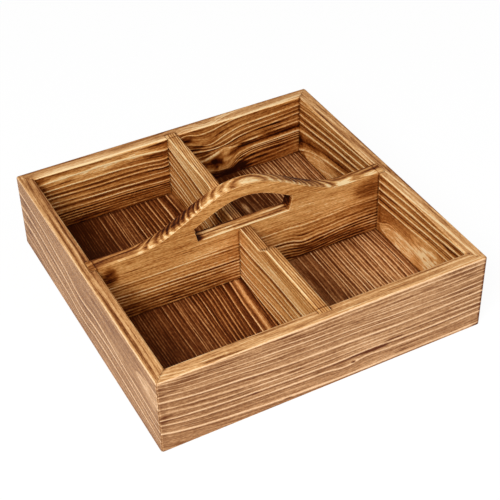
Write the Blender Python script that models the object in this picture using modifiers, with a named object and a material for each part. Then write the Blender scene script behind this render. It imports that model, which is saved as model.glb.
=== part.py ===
# Four-compartment serving dish of burnt pine: a mitred box with an arched carrying handle.
# Metres, +Z up. The origin is on the surface it stands on, under the middle of the dish.
# +X runs to the right along the front wall and +Y to the back.

import math

import bmesh
import bpy
from mathutils import Matrix, Vector

# Outer frame
TRAY_LENGTH = 0.300            # left to right
TRAY_WIDTH = 0.300             # front to back
WALL_HEIGHT = 0.074
WALL_THICKNESS = 0.013
CORNER_ROUND = 0.0022          # rounding of the four upright corners
RIM_ROUND = 0.0014             # rounding of the rim's edges
FOOT_ROUND = 0.0006            # easing of the edge that the walls stand on

# Floor
FLOOR_THICKNESS = 0.008
FLOOR_LIFT = 0.002             # underside of the floor above the foot of the walls
FLOOR_REBATE = 0.006           # how far the floor reaches under the walls
FLOOR_BOARD_WIDTH = 0.100      # whole boards, laid from the right; the left one is ripped to fit

# Handle board: the long divider whose middle rises into the grip
HANDLE_THICKNESS = 0.013
ARCH_RISE = 0.036              # highest point of the grip above the rim
ARCH_HALF_LENGTH = 0.104       # from the middle to where the arch meets the rim
GRIP_DEPTH = 0.0117            # wood between the arch and the hand slot
GRIP_ROUND = 0.0042            # rounding of the arch's two edges
SLOT_ROUND = 0.003             # rounding over the fingers
SILL_ROUND = 0.0014            # rounding of the slot's sill
SHOULDER_ROUND = 0.0016        # easing of the level stretches beside the arch
ROUND_RUNOUT = 0.016           # length in which the arch's rounding fades away
ROUND_STOP = 0.004             # the fading ends this far inside the arch's foot
SLOT_HALF_LENGTH = 0.048       # to the slot's ends, where they meet the grip
SLOT_END_LEAN = 0.0035         # the ends lean in this far on their way down to the sill
SLOT_DROP = 0.0075             # level lower edge of the slot below the rim

# Cross divider, with its lowered middle under the hand slot
DIVIDER_THICKNESS = 0.0105
DIP_DEPTH = 0.0085             # lowered middle below the rim
DIP_HALF_LENGTH = 0.039        # level part of the lowered middle, each way
DIP_RUN = 0.016                # length of the slope up to the rim
DIVIDER_ROUND = 0.0010

# Joints
HOUSING_DEPTH = 0.005          # depth of the grooves that hold the dividers' ends
FIT_GAP = 0.0003               # play between pieces that touch
CUT_OVERRUN = 0.004            # how far every cutter passes the wood that it cuts

# Pins driven up through the floor
PIN_LENGTH = 0.022
PIN_RADIUS = 0.0007
PIN_HEAD_RADIUS = 0.0012
PIN_HEAD_DEPTH = 0.0008
PIN_POINT = 0.0022
PIN_SINK = 0.0004              # head below the underside of the floor
PIN_SIDES = 8
BOARD_PIN_SHARES = (0.22, 0.78)               # along a floor board's width
SIDE_PIN_SHARES = (0.2, 0.5, 0.8)             # along the tray's width
HANDLE_PIN_SHARES = (0.18, 0.40, 0.60, 0.82)  # along the tray's length
DIVIDER_PIN_SHARES = (0.24, 0.76)             # along the tray's width

# Counts of facets
CORNER_STEPS = 3
ARCH_STEPS = 60
SLOT_STEPS = 36
DIP_STEPS = 10
ROUND_SEGMENTS = 5
EASE_SEGMENTS = 3

# Sizes that follow from the ones above
INNER_LENGTH = TRAY_LENGTH - 2 * WALL_THICKNESS
INNER_WIDTH = TRAY_WIDTH - 2 * WALL_THICKNESS
FLOOR_TOP = FLOOR_LIFT + FLOOR_THICKNESS
DIVIDER_FOOT = FLOOR_TOP + FIT_GAP
SLOT_SILL = WALL_HEIGHT - SLOT_DROP
DIVIDER_DIP_TOP = WALL_HEIGHT - DIP_DEPTH
LAP_HEIGHT = (DIVIDER_FOOT + DIVIDER_DIP_TOP) / 2

SAME_POINT = 0.00001           # vertices closer than this are one
FLAT_ANGLE = math.radians(0.2)       # faces that turn less than this are one
EDGE_ANGLE = math.radians(25)        # edges that turn more than this are rounded
SMOOTH_ANGLE = math.radians(38)      # faces that turn less than this shade as one
MITRE_ANGLE = math.radians(45)


def clear_scene():
    for old in list(bpy.data.objects):
        bpy.data.objects.remove(old, do_unlink=True)


def new_collection(name):
    collection = bpy.data.collections.new(name)
    bpy.context.scene.collection.children.link(collection)
    return collection


def new_material(name, color, roughness, metallic=0.0):
    material = bpy.data.materials.new(name)
    material.use_nodes = True
    shader = material.node_tree.nodes["Principled BSDF"]
    shader.inputs["Base Color"].default_value = (*color, 1.0)
    shader.inputs["Roughness"].default_value = roughness
    shader.inputs["Metallic"].default_value = metallic
    material.diffuse_color = (*color, 1.0)
    return material


def new_object(name, mesh, collection):
    item = bpy.data.objects.new(name, mesh)
    collection.objects.link(item)
    return item


def box_between(name, low, high, collection):
    """A box from its lowest to its highest corner."""
    low = Vector(low)
    high = Vector(high)
    mesh = bpy.data.meshes.new(name)
    bm = bmesh.new()
    bmesh.ops.create_cube(bm, size=1.0)
    bmesh.ops.scale(bm, vec=high - low, verts=bm.verts)
    bmesh.ops.translate(bm, vec=(low + high) / 2, verts=bm.verts)
    bm.to_mesh(mesh)
    bm.free()
    return new_object(name, mesh, collection)


def plate_from_outlines(name, outlines, thickness, collection, placement):
    """A flat plate cut to closed outlines; an outline inside another is a hole."""
    curve = bpy.data.curves.new(name + "_outline", "CURVE")
    curve.dimensions = "2D"
    curve.fill_mode = "BOTH"
    curve.extrude = thickness / 2
    for outline in outlines:
        spline = curve.splines.new("POLY")
        spline.points.add(len(outline) - 1)
        for point, (across, up) in zip(spline.points, outline):
            point.co = (across, up, 0.0, 1.0)
        spline.use_cyclic_u = True
    guide = bpy.data.objects.new(name + "_outline", curve)
    guide.matrix_world = placement
    collection.objects.link(guide)
    bpy.context.view_layer.update()
    evaluated = guide.evaluated_get(bpy.context.evaluated_depsgraph_get())
    mesh = bpy.data.meshes.new_from_object(evaluated)
    mesh.name = name
    plate = new_object(name, mesh, collection)
    plate.matrix_world = guide.matrix_world
    bpy.data.objects.remove(guide, do_unlink=True)
    bm = bmesh.new()
    bm.from_mesh(mesh)
    bmesh.ops.remove_doubles(bm, verts=bm.verts, dist=SAME_POINT)
    bmesh.ops.dissolve_limit(bm, angle_limit=FLAT_ANGLE, verts=bm.verts, edges=bm.edges)
    bmesh.ops.recalc_face_normals(bm, faces=bm.faces)
    bm.to_mesh(mesh)
    bm.free()
    return plate


def round_edges(item, width, segments, width_at):
    """Rounds the sharp edges; width_at gives each edge its own width, up to the full one."""
    bm = bmesh.new()
    bm.from_mesh(item.data)
    weights = bm.edges.layers.float.new("bevel_weight_edge")
    for edge in bm.edges:
        if edge.calc_face_angle(0.0) > EDGE_ANGLE:
            edge[weights] = width_at(edge) / width
    bm.to_mesh(item.data)
    bm.free()
    bevel = item.modifiers.new("rounded edges", "BEVEL")
    bevel.width = width
    bevel.segments = segments
    bevel.limit_method = "WEIGHT"
    bevel.miter_outer = "MITER_SHARP"


def cut(item, cutter):
    boolean = item.modifiers.new("cut by " + cutter.name, "BOOLEAN")
    boolean.operation = "DIFFERENCE"
    boolean.solver = "EXACT"
    boolean.object = cutter


def smooth(mesh):
    mesh.shade_smooth()
    mesh.set_sharp_from_angle(angle=SMOOTH_ANGLE)


def wall_outline(length):
    """Plan of a mitred wall: its outer face at zero, its inner face a wall's thickness up.

    Each end's tip is the half of the corner's arc that ends at this wall's mitre face.
    """
    mitre_shift = FIT_GAP / math.sqrt(2)
    inner_half = length / 2 - WALL_THICKNESS - mitre_shift
    tip_angle = MITRE_ANGLE - math.acos(-mitre_shift / (CORNER_ROUND * math.sqrt(2)))
    start_angle = -math.pi / 2
    arc = []
    for step in range(CORNER_STEPS + 1):
        angle = start_angle + (tip_angle - start_angle) * step / CORNER_STEPS
        across = length / 2 - CORNER_ROUND + CORNER_ROUND * math.cos(angle)
        arc.append((across, CORNER_ROUND + CORNER_ROUND * math.sin(angle)))
    right = arc + [(inner_half, WALL_THICKNESS)]
    left = [(-across, up) for across, up in reversed(right)]
    return right + left


def wall_edge_width(edge):
    """Rim edges get the rim's rounding, the outer foot a slight easing, the mitres none."""
    heights = [vert.co.z for vert in edge.verts]
    outer = min(vert.co.y for vert in edge.verts) < CORNER_ROUND
    inner = max(vert.co.y for vert in edge.verts) > WALL_THICKNESS - SAME_POINT
    if outer and inner or abs(heights[0] - heights[1]) > SAME_POINT:
        return 0.0
    if heights[0] > 0:
        return RIM_ROUND
    return FOOT_ROUND if outer else 0.0


def make_wall(name, turn, length, distance, collection, material):
    """A wall at a distance in front of the middle, turned in quarter turns about the middle."""
    placement = Matrix.Rotation(turn * math.pi / 2, 4, "Z")
    placement = placement @ Matrix.Translation((0, -distance, WALL_HEIGHT / 2))
    wall = plate_from_outlines(name, [wall_outline(length)], WALL_HEIGHT, collection, placement)
    wall.data.materials.append(material)
    round_edges(wall, RIM_ROUND, EASE_SEGMENTS, wall_edge_width)
    smooth(wall.data)
    return wall


def arch_height(across):
    """Top of the handle board: a raised cosine between two level shoulders."""
    if abs(across) >= ARCH_HALF_LENGTH:
        return WALL_HEIGHT
    return WALL_HEIGHT + ARCH_RISE * (1 + math.cos(math.pi * across / ARCH_HALF_LENGTH)) / 2


def arch_slope(across):
    turn = math.pi / ARCH_HALF_LENGTH
    return -ARCH_RISE * turn * math.sin(turn * across) / 2


def under_grip(across):
    """The point that lies one grip's depth square below the arch."""
    slope = arch_slope(across)
    steep = math.sqrt(1 + slope * slope)
    return across + GRIP_DEPTH * slope / steep, arch_height(across) - GRIP_DEPTH / steep


def slot_reach():
    """The place on the arch whose point under the grip is at the slot's end."""
    low = SLOT_HALF_LENGTH
    high = ARCH_HALF_LENGTH
    while high - low > SAME_POINT:
        middle = (low + high) / 2
        if under_grip(middle)[0] < SLOT_HALF_LENGTH:
            low = middle
        else:
            high = middle
    return low


def handle_outline():
    end = INNER_LENGTH / 2 + HOUSING_DEPTH
    outline = [(end, DIVIDER_FOOT), (end, WALL_HEIGHT)]
    for step in range(ARCH_STEPS + 1):
        across = ARCH_HALF_LENGTH * (1 - 2 * step / ARCH_STEPS)
        outline.append((across, arch_height(across)))
    outline += [(-end, WALL_HEIGHT), (-end, DIVIDER_FOOT)]
    return outline


def slot_outline():
    reach = slot_reach()
    sill_half = SLOT_HALF_LENGTH - SLOT_END_LEAN
    outline = [(sill_half, SLOT_SILL)]
    for step in range(SLOT_STEPS + 1):
        outline.append(under_grip(reach * (1 - 2 * step / SLOT_STEPS)))
    outline.append((-sill_half, SLOT_SILL))
    return outline


def handle_edge_width(edge):
    """Wide rounding along the grip, a slight one on the slot's sill and the shoulders."""
    ends = [vert.co for vert in edge.verts]
    if ends[0].z * ends[1].z < 0:
        return 0.0
    across = abs(ends[0].x + ends[1].x) / 2
    up = (ends[0].y + ends[1].y) / 2
    upright = abs(ends[0].x - ends[1].x) < SAME_POINT
    in_slot = across < SLOT_HALF_LENGTH + SAME_POINT and up < arch_height(across) - GRIP_DEPTH / 2
    if in_slot and up > SLOT_SILL - SAME_POINT:
        return SILL_ROUND if up < SLOT_SILL + SAME_POINT else SLOT_ROUND
    if upright or up < WALL_HEIGHT - SAME_POINT:
        return 0.0
    inside = ARCH_HALF_LENGTH - ROUND_STOP - across
    fade = min(max(inside / ROUND_RUNOUT, 0.0), 1.0)
    return SHOULDER_ROUND + (GRIP_ROUND - SHOULDER_ROUND) * fade * fade * (3 - 2 * fade)


def make_handle_board(collection, material):
    placement = Matrix.Rotation(math.pi / 2, 4, "X")
    outlines = [handle_outline(), slot_outline()]
    board = plate_from_outlines("handle_board", outlines, HANDLE_THICKNESS, collection, placement)
    board.data.materials.append(material)
    round_edges(board, GRIP_ROUND, ROUND_SEGMENTS, handle_edge_width)
    smooth(board.data)
    return board


def divider_outline():
    """The cross divider from its side: level ends and a lowered middle with eased slopes."""
    end = INNER_WIDTH / 2 + HOUSING_DEPTH
    right = [(end, DIVIDER_FOOT), (end, WALL_HEIGHT)]
    for step in range(DIP_STEPS + 1):
        share = step / DIP_STEPS
        across = DIP_HALF_LENGTH + DIP_RUN * (1 - share)
        drop = (WALL_HEIGHT - DIVIDER_DIP_TOP) * (1 - math.cos(math.pi * share)) / 2
        right.append((across, WALL_HEIGHT - drop))
    left = [(-across, up) for across, up in reversed(right)]
    return right + left


def divider_edge_width(edge):
    ends = [vert.co for vert in edge.verts]
    upright = abs(ends[0].x - ends[1].x) < SAME_POINT
    across_board = ends[0].z * ends[1].z < 0
    low = max(ends[0].y, ends[1].y) < DIVIDER_DIP_TOP - SAME_POINT
    return 0.0 if upright or across_board or low else DIVIDER_ROUND


def make_cross_divider(collection, material):
    placement = Matrix.Rotation(math.pi / 2, 4, "Z") @ Matrix.Rotation(math.pi / 2, 4, "X")
    divider = plate_from_outlines(
        "cross_divider", [divider_outline()], DIVIDER_THICKNESS, collection, placement
    )
    divider.data.materials.append(material)
    round_edges(divider, DIVIDER_ROUND, EASE_SEGMENTS, divider_edge_width)
    smooth(divider.data)
    return divider


def floor_board_edges():
    """Each floor board's left and right edge under its name, from left to right."""
    end = INNER_LENGTH / 2 + FLOOR_REBATE
    joints = [-end, end - 2 * FLOOR_BOARD_WIDTH, end - FLOOR_BOARD_WIDTH, end]
    edges = {}
    for name, left, right in zip(("left", "middle", "right"), joints, joints[1:]):
        edges[name] = (left + FIT_GAP / 2, right - FIT_GAP / 2)
    return edges


def pin_places():
    """Name and place of each pin: under the walls, the handle board and the cross divider."""
    front = INNER_WIDTH / 2 + FLOOR_REBATE / 2
    side = INNER_LENGTH / 2 + FLOOR_REBATE / 2
    rows = {"front": [], "back": [], "left": [], "right": [], "handle": [], "divider": []}
    for left, right in floor_board_edges().values():
        for share in BOARD_PIN_SHARES:
            across = left + (right - left) * share
            rows["front"].append((across, -front))
            rows["back"].append((across, front))
    for share in SIDE_PIN_SHARES:
        along = TRAY_WIDTH * share - TRAY_WIDTH / 2
        rows["left"].append((-side, along))
        rows["right"].append((side, along))
    for share in HANDLE_PIN_SHARES:
        rows["handle"].append((TRAY_LENGTH * share - TRAY_LENGTH / 2, 0))
    for share in DIVIDER_PIN_SHARES:
        rows["divider"].append((0, TRAY_WIDTH * share - TRAY_WIDTH / 2))
    return [
        (f"floor_pin_{row}_{number}", place)
        for row, places in rows.items()
        for number, place in enumerate(places, 1)
    ]


def pin_profile(grow, overrun):
    """Half section of a pin with its head down; grow and overrun turn it into its hole."""
    foot = FLOOR_LIFT + PIN_SINK
    head_top = foot + PIN_HEAD_DEPTH
    tip = foot + PIN_LENGTH
    return [
        (0.0, tip + grow),
        (PIN_RADIUS + grow, tip - PIN_POINT + grow),
        (PIN_RADIUS + grow, head_top + grow),
        (PIN_HEAD_RADIUS + grow, head_top + grow),
        (PIN_HEAD_RADIUS + grow, foot - overrun),
        (0.0, foot - overrun),
    ]


def turned_mesh(name, profile, collection):
    """The closed mesh that a half section makes when it is turned about its own axis."""
    outline = bpy.data.meshes.new(name + "_section")
    bm = bmesh.new()
    verts = [bm.verts.new((radius, 0, up)) for radius, up in profile]
    for first, second in zip(verts, verts[1:]):
        bm.edges.new((first, second))
    bm.to_mesh(outline)
    bm.free()
    section = new_object(name + "_section", outline, collection)
    screw = section.modifiers.new("turned", "SCREW")
    screw.steps = PIN_SIDES
    screw.render_steps = PIN_SIDES
    screw.use_merge_vertices = True
    screw.merge_threshold = SAME_POINT
    bpy.context.view_layer.update()
    evaluated = section.evaluated_get(bpy.context.evaluated_depsgraph_get())
    mesh = bpy.data.meshes.new_from_object(evaluated)
    bpy.data.objects.remove(section, do_unlink=True)
    bm = bmesh.new()
    bm.from_mesh(mesh)
    bmesh.ops.remove_doubles(bm, verts=bm.verts, dist=SAME_POINT)
    bmesh.ops.recalc_face_normals(bm, faces=bm.faces)
    bm.to_mesh(mesh)
    bm.free()
    mesh.name = name
    return mesh


def make_pin_holes(collection):
    """One cutter with a hole for every pin."""
    hole = turned_mesh("pin_hole", pin_profile(FIT_GAP, CUT_OVERRUN), collection)
    group = bmesh.new()
    for _, (across, along) in pin_places():
        first = len(group.verts)
        group.from_mesh(hole)
        group.verts.ensure_lookup_table()
        bmesh.ops.translate(group, vec=(across, along, 0), verts=group.verts[first:])
    mesh = bpy.data.meshes.new("pin_holes")
    group.to_mesh(mesh)
    group.free()
    return new_object("pin_holes", mesh, collection)


def make_pins(collection, material):
    pin = turned_mesh("floor_pin", pin_profile(0, 0), collection)
    pin.materials.append(material)
    smooth(pin)
    for name, (across, along) in pin_places():
        item = new_object(name, pin, collection)
        item.location = (across, along, 0)


def build():
    clear_scene()
    dish = new_collection("four_compartment_serving_dish")
    cutters = new_collection("cutters")

    wall_pine = new_material("burnt pine, walls", (0.36, 0.19, 0.075), 0.5)
    floor_pine = new_material("scorched pine, floor", (0.12, 0.055, 0.025), 0.55)
    handle_pine = new_material("burnt pine, handle board", (0.47, 0.26, 0.10), 0.45)
    divider_pine = new_material("burnt pine, cross divider", (0.40, 0.21, 0.085), 0.5)
    steel = new_material("bright steel, pins", (0.55, 0.55, 0.54), 0.35, 1.0)

    # The floor's seat under the walls, as large as the floor and its play
    seat_x = INNER_LENGTH / 2 + FLOOR_REBATE + FIT_GAP
    seat_y = INNER_WIDTH / 2 + FLOOR_REBATE + FIT_GAP
    floor_seat = box_between(
        "floor_seat",
        (-seat_x, -seat_y, -CUT_OVERRUN),
        (seat_x, seat_y, FLOOR_TOP + FIT_GAP),
        cutters,
    )

    # Grooves for the ends of the two dividers, open at the rim
    groove_x = INNER_LENGTH / 2 + HOUSING_DEPTH + FIT_GAP
    groove_y = INNER_WIDTH / 2 + HOUSING_DEPTH + FIT_GAP
    half_handle = HANDLE_THICKNESS / 2 + FIT_GAP
    half_divider = DIVIDER_THICKNESS / 2 + FIT_GAP
    handle_groove = box_between(
        "handle_groove",
        (-groove_x, -half_handle, FLOOR_TOP),
        (groove_x, half_handle, WALL_HEIGHT + CUT_OVERRUN),
        cutters,
    )
    divider_groove = box_between(
        "divider_groove",
        (-half_divider, -groove_y, FLOOR_TOP),
        (half_divider, groove_y, WALL_HEIGHT + CUT_OVERRUN),
        cutters,
    )

    # Halving joint where the dividers cross: the handle board is cut from below,
    # the cross divider from above
    lap_in_handle = box_between(
        "lap_in_handle",
        (-half_divider, -HANDLE_THICKNESS, DIVIDER_FOOT - CUT_OVERRUN),
        (half_divider, HANDLE_THICKNESS, LAP_HEIGHT + FIT_GAP / 2),
        cutters,
    )
    lap_in_divider = box_between(
        "lap_in_divider",
        (-DIVIDER_THICKNESS, -half_handle, LAP_HEIGHT - FIT_GAP / 2),
        (DIVIDER_THICKNESS, half_handle, WALL_HEIGHT + CUT_OVERRUN),
        cutters,
    )
    pin_holes = make_pin_holes(cutters)
    for cutter in cutters.objects:
        cutter.hide_render = True
        cutter.display_type = "WIRE"

    front = make_wall("front_wall", 0, TRAY_LENGTH, TRAY_WIDTH / 2, dish, wall_pine)
    right = make_wall("right_wall", 1, TRAY_WIDTH, TRAY_LENGTH / 2, dish, wall_pine)
    back = make_wall("back_wall", 2, TRAY_LENGTH, TRAY_WIDTH / 2, dish, wall_pine)
    left = make_wall("left_wall", 3, TRAY_WIDTH, TRAY_LENGTH / 2, dish, wall_pine)
    for wall, groove in (
        (front, divider_groove),
        (back, divider_groove),
        (left, handle_groove),
        (right, handle_groove),
    ):
        cut(wall, floor_seat)
        cut(wall, groove)
        cut(wall, pin_holes)

    handle_board = make_handle_board(dish, handle_pine)
    cut(handle_board, lap_in_handle)
    cut(handle_board, pin_holes)
    cross_divider = make_cross_divider(dish, divider_pine)
    cut(cross_divider, lap_in_divider)
    cut(cross_divider, pin_holes)

    half_floor = INNER_WIDTH / 2 + FLOOR_REBATE
    for place, (low, high) in floor_board_edges().items():
        board = box_between(
            "floor_board_" + place,
            (low, -half_floor, FLOOR_LIFT),
            (high, half_floor, FLOOR_TOP),
            dish,
        )
        board.data.materials.append(floor_pine)
        cut(board, pin_holes)

    make_pins(dish, steel)


build()
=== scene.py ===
import math

import bmesh
import bpy
import numpy as np
from mathutils import Euler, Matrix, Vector, noise


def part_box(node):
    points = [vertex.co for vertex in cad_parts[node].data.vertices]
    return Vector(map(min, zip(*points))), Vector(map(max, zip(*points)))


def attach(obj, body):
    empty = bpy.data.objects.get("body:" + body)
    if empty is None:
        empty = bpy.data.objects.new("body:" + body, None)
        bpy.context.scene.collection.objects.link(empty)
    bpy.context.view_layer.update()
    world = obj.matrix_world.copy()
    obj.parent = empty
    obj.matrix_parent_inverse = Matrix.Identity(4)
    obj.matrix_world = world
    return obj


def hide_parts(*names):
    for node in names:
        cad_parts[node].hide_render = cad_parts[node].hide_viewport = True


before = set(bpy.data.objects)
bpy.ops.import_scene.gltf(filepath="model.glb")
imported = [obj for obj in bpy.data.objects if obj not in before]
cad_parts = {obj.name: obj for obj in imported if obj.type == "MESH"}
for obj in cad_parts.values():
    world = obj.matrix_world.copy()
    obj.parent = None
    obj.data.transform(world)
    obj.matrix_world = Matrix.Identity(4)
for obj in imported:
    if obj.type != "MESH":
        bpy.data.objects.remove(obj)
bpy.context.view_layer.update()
mm = 0.001

# what a Math or a Vector Math node does
plus, minus, times, least, most, absolute = (
    {"operation": word} for word in ("ADD", "SUBTRACT", "MULTIPLY", "MINIMUM", "MAXIMUM", "ABSOLUTE"))


def srgb(code):  # hex colour to linear
    parts = [int(code[i:i + 2], 16) / 255 for i in (1, 3, 5)]
    return [p / 12.92 if p <= 0.04045 else ((p + 0.055) / 1.055) ** 2.4 for p in parts] + [1.0]


def addNode(tree, kind, settings=None, **links):  # a node, its settings, and what feeds its sockets
    node = tree.nodes.new("ShaderNode" + kind)
    for name, value in (settings or {}).items():
        setattr(node, name, value)
    for name, source in links.items():
        socket = node.inputs[int(name[1:])] if name[1:].isdigit() else node.inputs[name.replace("_", " ")]
        if isinstance(source, bpy.types.Node):
            source = source.outputs[0]
        if isinstance(source, bpy.types.NodeSocket):
            tree.links.new(source, socket)
        else:
            socket.default_value = source
    return node


def newMaterial(name):
    material = bpy.data.materials.new(name)
    material.use_nodes = True
    material.node_tree.nodes.clear()
    return material, material.node_tree


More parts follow.
